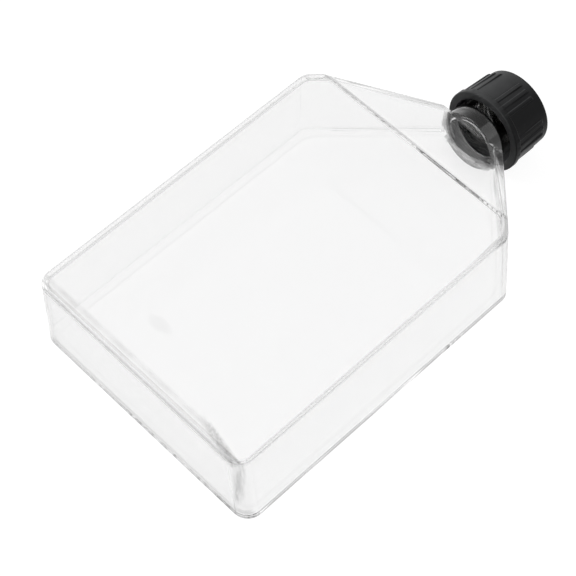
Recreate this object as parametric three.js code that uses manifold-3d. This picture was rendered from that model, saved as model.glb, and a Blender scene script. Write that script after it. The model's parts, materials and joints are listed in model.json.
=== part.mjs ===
// Cell culture flask with a canted neck and a screw cap, in millimetres, +Z up.
//
// The flask is modelled in its own body frame first: X runs from the base end (x = 0) towards the neck, Y runs
// across, and Z runs from the outer face of the back plate (z = 0) to the broad upper face. The neck leans
// towards the back and the cap reaches past it, so the flask rests on its base end and on the cap's rim: the
// whole assembly is then tilted by that small angle and set down on z = 0.
import * as THREE from 'three';
import { ConvexGeometry } from 'three/addons/geometries/ConvexGeometry.js';
import { mergeVertices } from 'three/addons/utils/BufferGeometryUtils.js';
import Module from 'manifold-3d';

// Body
const faceLength = 108.6;       // base end to the crease where the upper face starts to fall
const faceWidth = 84.5;         // across the upper face at the base end
const bodyDepth = 29.6;         // back plate's outer face to the upper face
const sideTaper = 0.47;         // each side wall closes in by this much from base end to crease
const sideDraft = 1.15;         // each side wall leans out by this much from upper face to back
const wall = 1.4;
const plateThickness = 1.4;
const seamGap = 0.3;            // weld seam between the shell and its back plate
const baseCornerRadius = 5.2;   // upright corners at the base end
const shoulderCornerRadius = 5; // upright corners where the side walls turn in
const upperEdgeRadius = 3.2;    // round all along the edge of the upper face
const plateEdgeRadius = 0.6;

// Shoulder
const shoulderSetback = 4.9;    // the side walls turn in this far before the crease
const shoulderAngle = THREE.MathUtils.degToRad(45);
const throatHalfWidth = 11.2;   // half the shoulder's width where it ends
const throatHeight = 13.4;      // height of the falling face where the shoulder ends

// Neck, along its own axis: t = 0 at the plane of the cap's open rim, t grows outwards
const neckLean = THREE.MathUtils.degToRad(6.1);
const neckHeight = 6.7;         // neck axis above the back plate's outer face, at t = 0
const neckStub = 4.7;           // shoulder's end to the plane of the cap's rim
const barrelRadius = 9.7;       // threaded part
const neckWall = 1.4;
const collarStep = 0.8;         // the plain part below the thread stands proud by this much
const collarStop = 1.6;         // the collar ends this far short of the cap's rim
const rootLength = 15.5;        // the neck starts this far behind the cap's rim, inside the shoulder
const rootCone = 4.5;           // length of the cone that swells into the collar
const rootRadius = 8.3;
const lipRound = 0.4;

// Screw thread
const threadPitch = 4.5;
const threadRidge = 0.8;        // how far each ridge stands proud
const threadClearance = 0.5;    // ridge to the wall that faces it
const threadToRim = 2.75;       // the cap's ridge starts this far inside its rim
const threadToMouth = 1.45;     // the neck's ridge ends this far short of the mouth

// Cap
const capLength = 16;
const capTop = 1.4;
const capWall = 1.6;            // skirt wall at the closed end
const skirtDraft = 0.95;        // the skirt is this much wider in radius at its open end
const boreDraft = 0.2;
const beadWidth = 2;            // smooth band around the open rim
const beadStep = 0.35;          // how far the band stands proud of the skirt
const capEdgeRadius = 1;
const ribGroups = 6;
const ribsPerGroup = 3;
const ribStep = THREE.MathUtils.degToRad(12);
const ribPhase = THREE.MathUtils.degToRad(-18);   // middle of one group, from straight up towards +Y
const ribWidth = 1.2;
const ribHeight = 0.45;         // at the closed end; the ribs sink into the skirt towards the rim
const ribStop = 2.8;            // the ribs end this far short of the cap's closed end

// Cap liner
const linerThickness = 0.8;
const linerClearance = 0.3;     // to the mouth on one side and to the cap on the other
const linerInset = 0.9;         // liner's edge inside the cap's bore

const roundSegments = 48;
const cornerSteps = 16;

// Values that follow from the ones above
const shoulderStart = faceLength - shoulderSetback;
const shoulderTan = Math.tan(shoulderAngle);
const upperHalfWidth = faceWidth / 2;
const shoulderHalfWidth = upperHalfWidth - sideTaper * shoulderStart / faceLength;
const shoulderEnd = shoulderStart + (shoulderHalfWidth - throatHalfWidth) / shoulderTan;
const fallAngle = Math.atan((bodyDepth - throatHeight) / (shoulderEnd - faceLength));
const rimX = shoulderEnd + neckStub;
const plateEnd = rimX - rootLength * Math.cos(neckLean) - 2 * seamGap;
const mouth = capLength - capTop - linerThickness - 2 * linerClearance;
const boreRadius = barrelRadius - neckWall;
const collarRadius = barrelRadius + collarStep;
const threadStart = threadToRim + threadPitch / 2;
const threadTurns = (mouth - threadToMouth - threadStart) / threadPitch;
const ribEnd = capLength - ribStop;
const capBoreRadius = barrelRadius + threadRidge + threadClearance;
const capFarRadius = capBoreRadius + capWall;
const skirtRimRadius = capFarRadius + skirtDraft;
const beadRadius = skirtRimRadius + beadStep;
const linerRadius = capBoreRadius - linerInset;

const clearPlastic = new THREE.MeshStandardMaterial({
  color: 0xf2f5f5, roughness: 0.08, metalness: 0, transparent: true, opacity: 0.35,
});
const blackPlastic = new THREE.MeshStandardMaterial({ color: 0x17181a, roughness: 0.32, metalness: 0 });
const whiteFoam = new THREE.MeshStandardMaterial({ color: 0xe6e6e1, roughness: 0.6, metalness: 0 });

const wasm = await Module();
wasm.setup();

/** Solid of a closed geometry, its shared vertices merged and its flat triangles dropped. */
function solid(geometry) {
  const bare = new THREE.BufferGeometry();
  bare.setAttribute('position', geometry.getAttribute('position').clone());
  if (geometry.index) bare.setIndex(geometry.index.clone());
  const merged = mergeVertices(bare, 1e-4);
  const corners = merged.index.array;
  const kept = [];
  for (let i = 0; i < corners.length; i += 3) {
    const [a, b, c] = [corners[i], corners[i + 1], corners[i + 2]];
    if (a !== b && b !== c && c !== a) kept.push(a, b, c);
  }
  return new wasm.Manifold(new wasm.Mesh({
    numProp: 3,
    vertProperties: new Float32Array(merged.getAttribute('position').array),
    triVerts: new Uint32Array(kept),
  }));
}

/** Flat-shaded geometry of a solid. */
function surface(body) {
  const mesh = body.getMesh();
  const geometry = new THREE.BufferGeometry();
  geometry.setAttribute('position', new THREE.BufferAttribute(new Float32Array(mesh.vertProperties), 3));
  geometry.setIndex(new THREE.BufferAttribute(new Uint32Array(mesh.triVerts), 1));
  geometry.computeVertexNormals();
  return geometry;
}

/** Half the flask's width on the straight part of its side wall. */
function sideHalfWidth(x, z) {
  return upperHalfWidth - sideTaper * x / faceLength + sideDraft * (1 - z / bodyDepth);
}

/** Points of a horizontal ring. */
function ring(x, y, z, radius) {
  const points = [];
  for (let step = 0; step < cornerSteps; step += 1) {
    const angle = 2 * Math.PI * (step + 0.5) / cornerSteps;
    points.push(new THREE.Vector3(x + radius * Math.cos(angle), y + radius * Math.sin(angle), z));
  }
  return points;
}

/** Points of the round at the top of an upright corner: rings that close in as they rise. */
function roundedTop(x, y, top, cornerRadius, edgeRadius) {
  const points = [];
  const levels = 5;
  for (let level = 0; level < levels; level += 1) {
    const rise = level / (levels - 1) * Math.PI / 2;
    const radius = cornerRadius - edgeRadius * (1 - Math.cos(rise));
    points.push(...ring(x, y, top - edgeRadius * (1 - Math.sin(rise)), radius));
  }
  return points;
}

/** Convex block of the body's shape, inset from the outer skin, from the given floor to the upper face. */
function bodyBlock(inset, floor) {
  const points = [];
  const edge = upperEdgeRadius - inset;
  const back = bodyDepth;
  const endX = shoulderEnd - upperEdgeRadius;
  const creaseX = faceLength - upperEdgeRadius * Math.tan(fallAngle / 2);
  const turnX = shoulderStart - shoulderCornerRadius * Math.tan(shoulderAngle / 2);
  const shoulderY = (x, z) => sideHalfWidth(shoulderStart, z) - (x - shoulderStart) * shoulderTan
    - upperEdgeRadius / Math.cos(shoulderAngle);
  const fallZ = (x) => bodyDepth - (x - faceLength) * Math.tan(fallAngle)
    - upperEdgeRadius / Math.cos(fallAngle);
  for (const side of [1, -1]) {
    const baseY = (z) => side * (sideHalfWidth(0, z) - baseCornerRadius);
    const turnY = (z) => side * (sideHalfWidth(turnX, z) - shoulderCornerRadius);
    points.push(
      ...ring(baseCornerRadius, baseY(floor), floor, baseCornerRadius - inset),
      ...ring(turnX, turnY(floor), floor, shoulderCornerRadius - inset),
      ...ring(endX, side * shoulderY(endX, floor), floor, edge),
      ...roundedTop(baseCornerRadius, baseY(back), bodyDepth - inset, baseCornerRadius - inset, edge),
      ...roundedTop(turnX, turnY(back), bodyDepth - inset, shoulderCornerRadius - inset, edge),
      ...roundedTop(creaseX, side * shoulderY(creaseX, back), bodyDepth - inset, edge, edge),
      ...roundedTop(endX, side * shoulderY(endX, throatHeight), fallZ(endX) + edge, edge, edge),
    );
  }
  return solid(new ConvexGeometry(points));
}

/** Solid of revolution about Z from [radius, height] pairs. */
function turned(profile) {
  const points = profile.map(([radius, height]) => new THREE.Vector2(radius, height));
  return new THREE.LatheGeometry(points, roundSegments).rotateX(Math.PI / 2);
}

/** Helix about Z, right-handed, from a start height. */
class Helix extends THREE.Curve {
  constructor(radius, start) {
    super();
    this.radius = radius;
    this.start = start;
  }

  getPoint(share, target = new THREE.Vector3()) {
    const angle = share * threadTurns * 2 * Math.PI;
    const height = this.start + share * threadTurns * threadPitch;
    return target.set(this.radius * Math.cos(angle), this.radius * Math.sin(angle), height);
  }
}

/** Round ridge of a screw thread, half of it buried in the wall that carries it. */
function threadRidgeAt(radius, start) {
  const section = new THREE.Shape().absarc(0, 0, threadRidge, 0, 2 * Math.PI);
  return new THREE.ExtrudeGeometry(section, {
    steps: Math.round(threadTurns * 20),
    curveSegments: 4,
    extrudePath: new Helix(radius, start),
  });
}

// Places a geometry made about Z, with its zero at the cap's rim plane, on the neck's axis in the body frame.
const neckFrame = new THREE.Matrix4()
  .makeRotationY(Math.PI / 2 + neckLean)
  .setPosition(rimX, 0, neckHeight);

/** Solid on the neck's axis, in the body frame. */
function onNeck(geometry) {
  return solid(geometry.applyMatrix4(neckFrame));
}

/** One-piece moulded shell: body, shoulder and threaded neck, open where the back plate goes. */
function flaskShell() {
  const neck = onNeck(turned([
    [0, -rootLength],
    [rootRadius, -rootLength],
    [collarRadius, rootCone - rootLength],
    [collarRadius, -collarStop - lipRound],
    [collarRadius - lipRound, -collarStop],
    [barrelRadius, -collarStop],
    [barrelRadius, mouth - lipRound],
    [barrelRadius - lipRound, mouth],
    [0, mouth],
  ]));
  const flareStart = wall / 3 - rootLength;
  const bore = onNeck(turned([
    [0, flareStart],
    [rootRadius - wall - seamGap, flareStart],
    [boreRadius, rootCone - rootLength],
    [boreRadius, mouth + wall],
    [0, mouth + wall],
  ]));
  const pocketLength = plateEnd + seamGap;
  const pocketHeight = plateThickness + seamGap;
  const pocket = solid(new THREE.BoxGeometry(2 * pocketLength, 2 * faceWidth, 2 * pocketHeight));
  const thread = onNeck(threadRidgeAt(barrelRadius, threadStart));
  return bodyBlock(0, 0).add(neck).subtract(bodyBlock(wall, plateThickness)).subtract(pocket)
    .add(thread).subtract(bore);
}

/** Plan outline of the back plate: the body's outline at its back, cut off square before the neck's root. */
function plateOutline() {
  const baseY = sideHalfWidth(0, 0);
  const turnY = sideHalfWidth(shoulderStart, 0);
  const endY = turnY - (plateEnd - shoulderStart) * shoulderTan;
  const turn = shoulderCornerRadius * Math.tan(shoulderAngle / 2);
  const halfPi = Math.PI / 2;
  const outline = new THREE.Shape();
  outline.moveTo(plateEnd, -endY);
  outline.lineTo(plateEnd, endY);
  outline.absarc(shoulderStart - turn, turnY - shoulderCornerRadius, shoulderCornerRadius,
    halfPi - shoulderAngle, halfPi);
  outline.absarc(baseCornerRadius, baseY - baseCornerRadius, baseCornerRadius, halfPi, 2 * halfPi);
  outline.absarc(baseCornerRadius, baseCornerRadius - baseY, baseCornerRadius, 2 * halfPi, 3 * halfPi);
  outline.absarc(shoulderStart - turn, shoulderCornerRadius - turnY, shoulderCornerRadius,
    -halfPi, shoulderAngle - halfPi);
  outline.closePath();
  return outline;
}

/** Flat back plate with a rounded edge. */
function backPlate() {
  return new THREE.ExtrudeGeometry(plateOutline(), {
    depth: plateThickness - 2 * plateEdgeRadius,
    bevelThickness: plateEdgeRadius,
    bevelSize: plateEdgeRadius,
    bevelOffset: -plateEdgeRadius,
    bevelSegments: 3,
    curveSegments: 6,
  }).translate(0, 0, plateEdgeRadius);
}

/** Skirt's outer radius at a place along the cap. */
function skirtRadius(t) {
  return skirtRimRadius - skirtDraft * t / capLength;
}

/** One grip rib: its crest runs nearly along the axis, so the draft of the skirt leaves it prouder at the end. */
function gripRib(angle) {
  const rimCrest = skirtRadius(beadWidth) + beadStep / 2;
  const endCrest = skirtRadius(ribEnd) + ribHeight;
  const root = capBoreRadius + capWall / 2;
  const profile = new THREE.Shape();
  profile.moveTo(root, beadWidth / 2);
  profile.lineTo(rimCrest, beadWidth / 2);
  profile.lineTo(endCrest, ribEnd - ribHeight);
  profile.lineTo(endCrest - ribHeight / 2, ribEnd);
  profile.lineTo(root, ribEnd);
  profile.closePath();
  const rib = new THREE.ExtrudeGeometry(profile, { depth: ribWidth, bevelEnabled: false });
  return solid(rib.translate(0, 0, -ribWidth / 2).rotateX(Math.PI / 2).rotateZ(angle));
}

/** Screw cap about Z: open rim at zero, inner thread, smooth band at the rim and groups of grip ribs. */
function screwCap() {
  const edge = capEdgeRadius;
  const edgeProfile = [];
  for (let step = 0; step <= 4; step += 1) {
    const turn = step / 4 * Math.PI / 2;
    const radius = skirtRadius(capLength - edge) - edge * (1 - Math.cos(turn));
    edgeProfile.push([radius, capLength - edge * (1 - Math.sin(turn))]);
  }
  let cap = solid(turned([
    [0, capLength - capTop],
    [capBoreRadius, capLength - capTop],
    [capBoreRadius + boreDraft, 0],
    [beadRadius - lipRound, 0],
    [beadRadius, lipRound],
    [beadRadius, beadWidth - beadStep],
    [skirtRadius(beadWidth), beadWidth],
    ...edgeProfile,
    [0, capLength],
  ]));
  for (let group = 0; group < ribGroups; group += 1) {
    for (let rib = 0; rib < ribsPerGroup; rib += 1) {
      const offset = (rib - (ribsPerGroup - 1) / 2) * ribStep;
      // Local -X points up, so the angle from straight up towards +Y is measured back from pi.
      cap = cap.add(gripRib(Math.PI - (ribPhase + group * 2 * Math.PI / ribGroups + offset)));
    }
  }
  return cap.add(solid(threadRidgeAt(capBoreRadius, threadToRim)));
}

/** Sealing disc that the cap carries over the mouth. */
function capLiner() {
  return turned([
    [0, 0],
    [linerRadius, 0],
    [linerRadius, linerThickness],
    [0, linerThickness],
  ]);
}

/** Named mesh. */
function piece(name, geometry, material) {
  const mesh = new THREE.Mesh(geometry, material);
  mesh.name = name;
  return mesh;
}

const closure = new THREE.Group();
closure.applyMatrix4(neckFrame);
const liner = piece('cap_liner', capLiner(), whiteFoam);
liner.position.z = mouth + linerClearance;
closure.add(piece('screw_cap', surface(screwCap()), blackPlastic), liner);

const body = new THREE.Group();
body.add(
  piece('flask_shell', surface(flaskShell()), clearPlastic),
  piece('back_plate', backPlate(), clearPlastic),
  closure,
);

// The cap's band is the lowest thing at the neck end: the tilt that brings it level with the base end's edge.
const bandReach = rimX + beadWidth * Math.cos(neckLean) - beadRadius * Math.sin(neckLean);
const bandDrop = beadRadius * Math.cos(neckLean) + beadWidth * Math.sin(neckLean) - neckHeight;
body.rotation.y = -Math.atan(bandDrop / (bandReach - plateEdgeRadius));
body.updateMatrixWorld(true);
const box = new THREE.Box3().setFromObject(body, true);
body.position.set(-(box.min.x + box.max.x) / 2, 0, -box.min.z);

const flask = new THREE.Group();
flask.add(body);

export default flask;
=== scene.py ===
"""Cell culture flask with a canted neck and a ribbed screw cap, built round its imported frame.

The flask's pieces are made in millimetres in the flask's own body frame: X runs from the base end towards the neck,
Y across, and Z from the outer face of the back plate to the broad growth face. The closure's pieces are made about
their own axis, with zero at the plane of the cap's open rim. Both frames are then placed by the cap's joint.
"""

import json
import logging
import math
from collections.abc import Callable, Mapping, Sequence
from dataclasses import dataclass, field
from enum import Enum
from functools import cached_property
from typing import TypeAlias

import bmesh
import bpy
import numpy as np
from mathutils import Matrix, Quaternion, Vector


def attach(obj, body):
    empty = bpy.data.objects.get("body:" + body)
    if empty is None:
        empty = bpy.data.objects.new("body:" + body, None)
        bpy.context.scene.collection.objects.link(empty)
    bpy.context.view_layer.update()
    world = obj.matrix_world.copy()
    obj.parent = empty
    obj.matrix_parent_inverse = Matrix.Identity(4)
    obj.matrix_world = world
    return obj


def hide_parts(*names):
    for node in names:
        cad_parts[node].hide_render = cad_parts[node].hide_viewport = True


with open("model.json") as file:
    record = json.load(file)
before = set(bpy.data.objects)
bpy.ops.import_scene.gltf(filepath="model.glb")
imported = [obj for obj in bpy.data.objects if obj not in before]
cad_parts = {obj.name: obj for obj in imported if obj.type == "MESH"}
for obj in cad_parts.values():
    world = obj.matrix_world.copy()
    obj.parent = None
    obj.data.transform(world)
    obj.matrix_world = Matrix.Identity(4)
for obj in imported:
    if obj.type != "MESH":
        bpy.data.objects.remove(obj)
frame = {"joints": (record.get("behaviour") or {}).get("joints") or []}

MM = 0.001
TURN = 2 * math.pi
MERGE_DISTANCE = 1e-5
log = logging.getLogger("flask")

Piece: TypeAlias = bpy.types.Object
Number: TypeAlias = "Wire | float"
Range: TypeAlias = tuple[float, float]
Triple: TypeAlias = tuple[float, float, float]
Colour: TypeAlias = tuple[float, float, float, float]
Spread: TypeAlias = tuple[float, float, float, float]
Profile: TypeAlias = Sequence[Range]
Relief: TypeAlias = Callable[[np.ndarray, np.ndarray, np.ndarray], np.ndarray]
Values: TypeAlias = Mapping[str | int, object] | None


class Body(Enum):
    """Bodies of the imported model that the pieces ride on."""

    FLASK = "flask"
    LINER = "liner"
    CAP = "cap"


class Slot(Enum):
    """Material slots of the record."""

    CLEAR = "clear_plastic"
    BLACK = "black_plastic"
    FOAM = "liner_foam"


class Merge(Enum):
    """What a boolean does with the tool."""

    JOIN = "UNION"
    REMOVE = "DIFFERENCE"


# ------------------------------------------------------------ nodes


class Nodes:
    """Adds nodes to one node tree."""

    def __init__(self, tree: bpy.types.NodeTree) -> None:
        """Keeps the tree that the nodes go into."""
        self.tree = tree

    def add(self, kind: str, settings: Values = None, sockets: Values = None) -> bpy.types.Node:
        """Makes a node, with its settings first and then what its sockets hold.

        Args:
            kind: the node's type name.
            settings: properties of the node.
            sockets: value, wire or socket for each input, by name or number.

        Returns:
            The new node.
        """
        node = self.tree.nodes.new(kind)
        for name, value in (settings or {}).items():
            setattr(node, name, value)
        for key, value in (sockets or {}).items():
            value = value.socket if isinstance(value, Wire) else value
            if isinstance(value, bpy.types.NodeSocket):
                self.tree.links.new(value, node.inputs[key])
            else:
                node.inputs[key].default_value = value
        return node

    def wire(self, kind: str, output: str | int = 0, settings: Values = None,
             sockets: Values = None) -> "Wire":
        """Makes a node as add does and wraps one of its outputs, by name or number."""
        return Wire(self, self.add(kind, settings, sockets).outputs[output])

    def split(self, vector: object) -> "list[Wire]":
        """The three parts of a vector."""
        return [Wire(self, part) for part in self.add("ShaderNodeSeparateXYZ", None, {0: vector}).outputs]

    def noise(self, where: "Wire", scale: float, detail: float = 2.0, rough: float = 0.5) -> "Wire":
        """Soft noise about 0.5."""
        sockets = {"Vector": where, "Scale": scale, "Detail": detail, "Roughness": rough}
        return self.wire("ShaderNodeTexNoise", 0, None, sockets)

    def bump(self, height: "Wire", depth: float, strength: float = 1.0) -> "Wire":
        """Normal of a surface that is raised by a height times a depth in metres."""
        return self.wire("ShaderNodeBump", 0, None, {"Height": height, "Distance": depth, "Strength": strength})

    def blend(self, factor: "Wire", first: object, second: object) -> "Wire":
        """Colour between two colours."""
        return self.wire("ShaderNodeMix", 2, {"data_type": "RGBA"}, {0: factor, 6: first, 7: second})

    def either(self, factor: "Wire", first: "Wire", second: "Wire") -> "Wire":
        """Shader between two shaders."""
        return self.wire("ShaderNodeMixShader", 0, None, {0: factor, 1: first, 2: second})

    def show(self, surface: "Wire") -> None:
        """Makes a shader the surface of the material."""
        self.add("ShaderNodeOutputMaterial", None, {"Surface": surface})


class Wire:
    """A value output of a node tree that takes part in Python arithmetic."""

    def __init__(self, nodes: Nodes, socket: bpy.types.NodeSocket) -> None:
        """Wraps an output of the tree that the nodes go into."""
        self.nodes = nodes
        self.socket = socket

    def math(self, operation: str, *others: Number, first: bool = True) -> "Wire":
        """Adds a Math node, whose first input, or else whose last, is this wire."""
        values = [self, *others] if first else [*others, self]
        return self.nodes.wire("ShaderNodeMath", 0, {"operation": operation}, dict(enumerate(values)))

    def __add__(self, other: Number) -> "Wire":
        """Sum."""
        return self.math("ADD", other)

    __radd__ = __add__

    def __sub__(self, other: Number) -> "Wire":
        """Difference."""
        return self.math("SUBTRACT", other)

    def __rsub__(self, other: float) -> "Wire":
        """Difference from a number."""
        return self.math("SUBTRACT", other, first=False)

    def __mul__(self, other: Number) -> "Wire":
        """Product."""
        return self.math("MULTIPLY", other)

    __rmul__ = __mul__

    def __truediv__(self, other: Number) -> "Wire":
        """Quotient."""
        return self.math("DIVIDE", other)

    def __abs__(self) -> "Wire":
        """Size without its sign."""
        return self.math("ABSOLUTE")

    def vector(self, operation: str, other: Triple = (0.0, 0.0, 0.0), output: str = "Vector") -> "Wire":
        """Adds a Vector Math node."""
        return self.nodes.wire("ShaderNodeVectorMath", output, {"operation": operation}, {0: self, 1: other})

    def smooth(self, low: Number, high: Number) -> "Wire":
        """Smooth step from 0 at low to 1 at high, which may lie below low."""
        settings = {"interpolation_type": "SMOOTHSTEP"}
        return self.nodes.wire("ShaderNodeMapRange", 0, settings, {0: self, 1: low, 2: high})

    def spread(self, low: float, high: float, start: float, end: float) -> "Wire":
        """Maps low to start and high to end along a straight line, and stays between them."""
        return self.nodes.wire("ShaderNodeMapRange", 0, None, {0: self, 1: low, 2: high, 3: start, 4: end})

    def between(self, low: Number, high: Number) -> "Wire":
        """Low where this wire is 0, up to high where it is 1."""
        return (high - low) * self + low

    def dims(self, light: Number) -> "Wire":
        """Share of light that passes: all where this wire is 0, down to the given light where it is 1."""
        return self.between(1.0, light)


# ----------------------------------------------------------- meshes


def closed_mesh(name: str, vertices: np.ndarray, faces: Sequence[Sequence[int]]) -> Piece:
    """Object of a closed mesh with its doubles merged and its faces outward.

    Args:
        name: the object's name.
        vertices: one row for each vertex.
        faces: vertex numbers of each face.

    Returns:
        The object, in the scene.
    """
    mesh = bpy.data.meshes.new(name)
    mesh.from_pydata(vertices.tolist(), [], [list(face) for face in faces])
    shape = bmesh.new()
    shape.from_mesh(mesh)
    bmesh.ops.remove_doubles(shape, verts=shape.verts, dist=MERGE_DISTANCE)
    bmesh.ops.recalc_face_normals(shape, faces=shape.faces)
    shape.to_mesh(mesh)
    shape.free()
    made = bpy.data.objects.new(name, mesh)
    bpy.context.scene.collection.objects.link(made)
    return made


def hull(name: str, points: Sequence[Vector]) -> Piece:
    """Object of the convex hull of some points.

    Args:
        name: the object's name.
        points: the points, some of which may lie inside.

    Returns:
        The object, in the scene.
    """
    shape = bmesh.new()
    for point in points:
        shape.verts.new(point)
    made = bmesh.ops.convex_hull(shape, input=shape.verts)
    spare = {part for part in made["geom_interior"] + made["geom_unused"] if isinstance(part, bmesh.types.BMVert)}
    bmesh.ops.delete(shape, geom=list(spare), context="VERTS")
    shape.verts.index_update()
    vertices = np.array([vertex.co for vertex in shape.verts])
    faces = [[vertex.index for vertex in face.verts] for face in shape.faces]
    shape.free()
    return closed_mesh(name, vertices, faces)


def turned(name: str, profile: Profile, angles: np.ndarray, relief: Relief | None = None) -> Piece:
    """Object of a solid of revolution about Z.

    Args:
        name: the object's name.
        profile: (radius, height) pairs that start and end on the axis, rising on the outside.
        angles: places round the axis, in radians, in rising order.
        relief: moves the surface in or out: takes the angle, radius and height of every point and gives its radius.

    Returns:
        The object, in the scene.
    """
    radius, height = np.array(profile).T
    grid_angle, grid_radius = np.meshgrid(angles, radius, indexing="ij")
    grid_height = np.broadcast_to(height, grid_radius.shape)
    if relief is not None:
        grid_radius = relief(grid_angle, grid_radius, grid_height)
    across = (grid_radius * np.cos(grid_angle), grid_radius * np.sin(grid_angle), grid_height)
    vertices = np.stack(across, axis=-1).reshape(-1, 3)
    rows, columns = len(angles), len(profile)
    faces = []
    for row in range(rows):
        for column in range(columns - 1):
            here, beside = row * columns + column, (row + 1) % rows * columns + column
            faces.append((here, beside, beside + 1, here + 1))
    return closed_mesh(name, vertices, faces)


def settled(piece: Piece) -> Piece:
    """Makes a piece's modifiers part of its mesh.

    Args:
        piece: object with live modifiers.

    Returns:
        The same object, with a plain mesh.
    """
    bpy.context.view_layer.update()
    depsgraph = bpy.context.evaluated_depsgraph_get()
    mesh = bpy.data.meshes.new_from_object(piece.evaluated_get(depsgraph), preserve_all_data_layers=True,
                                           depsgraph=depsgraph)
    spare = piece.data
    piece.modifiers.clear()
    piece.data = mesh
    bpy.data.meshes.remove(spare)
    mesh.name = piece.name
    return piece


def merged(blank: Piece, tool: Piece, how: Merge) -> Piece:
    """Joins a tool to a blank or takes it away from it. The tool is used up.

    Args:
        blank: the object that is changed.
        tool: the other closed solid.
        how: join or remove.

    Returns:
        The blank.
    """
    step = blank.modifiers.new("merge", "BOOLEAN")
    step.solver = "MANIFOLD"
    step.operation = how.value
    step.object = tool
    settled(blank)
    bpy.data.objects.remove(tool)
    return blank


def finished(piece: Piece, place: Matrix, crease: float) -> Piece:
    """Puts a piece's mesh in its place in metres and shades it smooth, with its flat faces kept flat.

    Args:
        piece: object made in millimetres in its own frame.
        place: matrix from that frame to the row frame.
        crease: angle in radians past which an edge stays sharp.

    Returns:
        The piece, at the origin.
    """
    piece.data.transform(place)
    piece.data.shade_smooth()
    piece.data.set_sharp_from_angle(angle=crease)
    weighted = piece.modifiers.new("weighted", "WEIGHTED_NORMAL")
    weighted.mode = "FACE_AREA"
    weighted.keep_sharp = True
    return settled(piece)


def arc(centre: Range, radius: float, start: float, end: float, steps: int) -> list[Range]:
    """Points of an arc in a profile, from one angle in degrees to another, both ends included."""
    turn = [math.radians(start + (end - start) * step / steps) for step in range(steps + 1)]
    return [(centre[0] + radius * math.cos(a), centre[1] + radius * math.sin(a)) for a in turn]


def evenly(count: int) -> np.ndarray:
    """Angles of an even ring."""
    return np.arange(count) * TURN / count


def rows(start: Range, end: Range, step: float) -> list[Range]:
    """Points along a straight stretch of a profile, first and last included, at most a step apart."""
    count = max(1, math.ceil(math.dist(start, end) / step))
    return [tuple(pair) for pair in np.linspace(start, end, count + 1)]


# ------------------------------------------------------------ sizes


@dataclass(frozen=True)
class Thread:
    """Screw thread shared by the neck and the cap, in millimetres."""

    pitch: float = 4.5
    turns: float = 1.5
    ridge: float = 0.8
    start: float = 5.0
    run_out: float = 0.35

    def height(self, angle: np.ndarray, along: np.ndarray, start: float) -> np.ndarray:
        """Height of the round ridge at points on its wall.

        Args:
            angle: angles about the axis, in radians.
            along: places along the axis.
            start: where the ridge starts along the axis.

        Returns:
            The ridge's height at each point, with its ends fading out.
        """
        share = (angle % TURN) / TURN
        most = np.zeros_like(along)
        for lap in range(math.ceil(self.turns) + 1):
            turn = share + lap
            off = (along - start - turn * self.pitch) / self.ridge
            end = np.clip(np.minimum(turn, self.turns - turn) / (self.run_out / 2), 0, 1)
            crest = np.sqrt(np.clip(1 - off ** 2, 0, 1)) * end * (2 - end)
            most = np.maximum(most, crest * self.ridge)
        return most


@dataclass(frozen=True)
class Closure:
    """Sizes that the neck and the cap share, in millimetres along the neck's axis."""

    cap_length: float = 16.0
    cap_top: float = 1.4
    liner_thickness: float = 0.8
    liner_clearance: float = 0.3
    barrel_radius: float = 9.7
    thread_clearance: float = 0.5
    thread: Thread = field(default_factory=Thread)

    @property
    def mouth(self) -> float:
        """Where the neck's mouth lies."""
        return self.cap_length - self.cap_top - self.liner_thickness - 2 * self.liner_clearance

    @property
    def cap_bore(self) -> float:
        """Radius of the cap's bore at its closed end."""
        return self.barrel_radius + self.thread.ridge + self.thread_clearance


# -------------------------------------------------------- finishes


def new_material(name: str) -> tuple[bpy.types.Material, Nodes]:
    """Empty node material.

    Args:
        name: the material's name.

    Returns:
        The material and the maker of its nodes.
    """
    material = bpy.data.materials.new(name)
    material.use_nodes = True
    material.node_tree.nodes.clear()
    return material, Nodes(material.node_tree)


@dataclass(frozen=True)
class Line:
    """A soft grey line painted into the plastic's colour."""

    at: float
    half: float
    soft: float
    light: float

    def share(self, where: Wire, strength: Wire) -> Wire:
        """How much light the line lets through, where its strength varies from place to place."""
        near = abs(where - self.at).smooth(self.half + self.soft, self.half - self.soft)
        return (near * strength).dims(self.light)


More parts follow.
